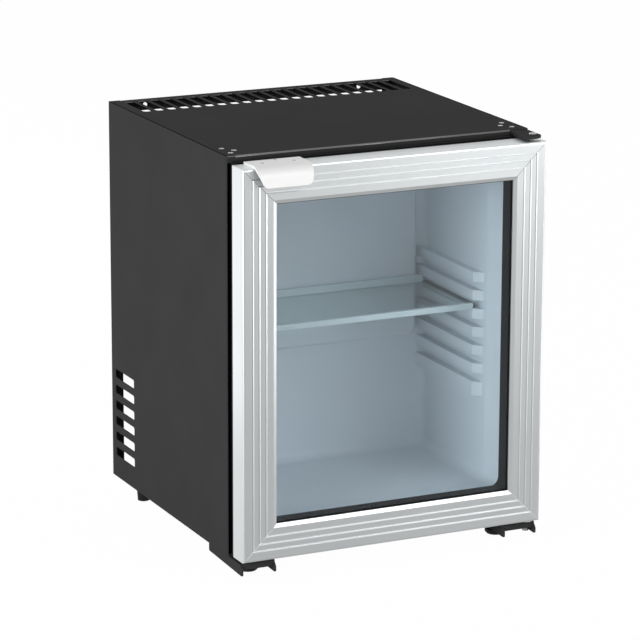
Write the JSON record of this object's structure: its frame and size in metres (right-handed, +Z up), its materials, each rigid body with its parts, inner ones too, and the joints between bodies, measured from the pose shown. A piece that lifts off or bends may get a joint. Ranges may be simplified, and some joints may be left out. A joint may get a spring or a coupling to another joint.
{
  "type": "minibar fridge",
  "caption": "Small hotel minibar fridge: black steel cabinet with vent slots, framed double-glazed door hinged right with a top pull, glass shelf, levelling feet and absorption cooling unit.",
  "frame": {"origin": "middle of the outline on the floor, under the fridge", "axes": "+X to the right as seen from the front (hinge side), +Y to the back, +Z up"},
  "size_m": [0.4, 0.428, 0.513],
  "materials": {
    "cabinet_black": "matte powder coat",
    "collar_black": "matte",
    "liner_white": "satin",
    "foam_cream": "matte",
    "bare_steel": "zinc plated",
    "unit_black": "satin",
    "fin_aluminium": "mill finish",
    "wool": "matte",
    "lead_black": "matte",
    "foot_black": "matte",
    "drain_grey": "matte",
    "frame_aluminium": "satin anodised",
    "pane_glass": "clear",
    "spacer_black": "matte",
    "gasket_black": "matte",
    "handle_white": "satin",
    "bush_white": "matte",
    "shelf_glass": "clear",
    "trim_pale": "gloss"
  },
  "bodies": {
    "cabinet": {"left_side_panel": "cabinet_black", "right_side_panel": "cabinet_black", "top_panel": "cabinet_black", "base_plate": "cabinet_black", "top_left_plate": "cabinet_black", "top_hinge_bracket": "cabinet_black", "lower_hinge_bracket": "cabinet_black", "left_front_bracket": "cabinet_black", "face_frame": "collar_black", "control_box": "collar_black", "control_cover": "collar_black", "mains_inlet": "collar_black", "drip_tray": "collar_black", "inner_liner": "liner_white", "evaporator_cover": "liner_white", "insulation_foam": "foam_cream", "rear_bulkhead": "bare_steel", "boiler_sleeve": "bare_steel", "boiler_brackets": "bare_steel", "vessel_saddles": "bare_steel", "top_hinge_pin": "bare_steel", "lower_hinge_pin": "bare_steel", "heater_cartridge": "bare_steel", "condenser_tube": "unit_black", "boiler_tube": "unit_black", "absorber_vessel": "unit_black", "absorber_coil": "unit_black", "heat_exchanger_pipe": "unit_black", "condenser_fins": "fin_aluminium", "evaporator_block": "fin_aluminium", "boiler_insulation": "wool", "heater_lead": "lead_black", "rear_left_foot": "foot_black", "rear_right_foot": "foot_black", "drain_tube": "drain_grey"},
    "door": {"door_frame_bottom": "frame_aluminium", "door_frame_top": "frame_aluminium", "door_frame_left": "frame_aluminium", "door_frame_right": "frame_aluminium", "corner_keys": "frame_aluminium", "outer_glass": "pane_glass", "glass_spacer": "spacer_black", "inner_glass": "pane_glass", "door_back_frame": "spacer_black", "door_gasket": "gasket_black", "door_handle": "handle_white", "top_hinge_bush": "bush_white", "lower_hinge_bush": "bush_white"},
    "shelf": {"shelf_glass": "shelf_glass", "shelf_front_trim": "trim_pale", "shelf_rear_trim": "trim_pale"},
    "left_foot": {"front_left_foot": "foot_black"},
    "right_foot": {"front_right_foot": "foot_black"}
  },
  "joints": [
    {"name": "door_hinge", "type": "hinge", "parent": "cabinet", "child": "door", "pos_m": [0.191, -0.1816, 0.024], "axis": [0, 0, 1], "range_deg": [0, 110]},
    {"name": "shelf_slide", "type": "slide", "parent": "cabinet", "child": "shelf", "axis": [0, -1, 0], "range_m": [0, 0.05]},
    {"name": "left_foot_screw", "type": "slide", "parent": "cabinet", "child": "left_foot", "axis": [0, 0, 1], "range_m": [-0.005, 0]},
    {"name": "right_foot_screw", "type": "slide", "parent": "cabinet", "child": "right_foot", "axis": [0, 0, 1], "range_m": [-0.005, 0]}
  ]
}
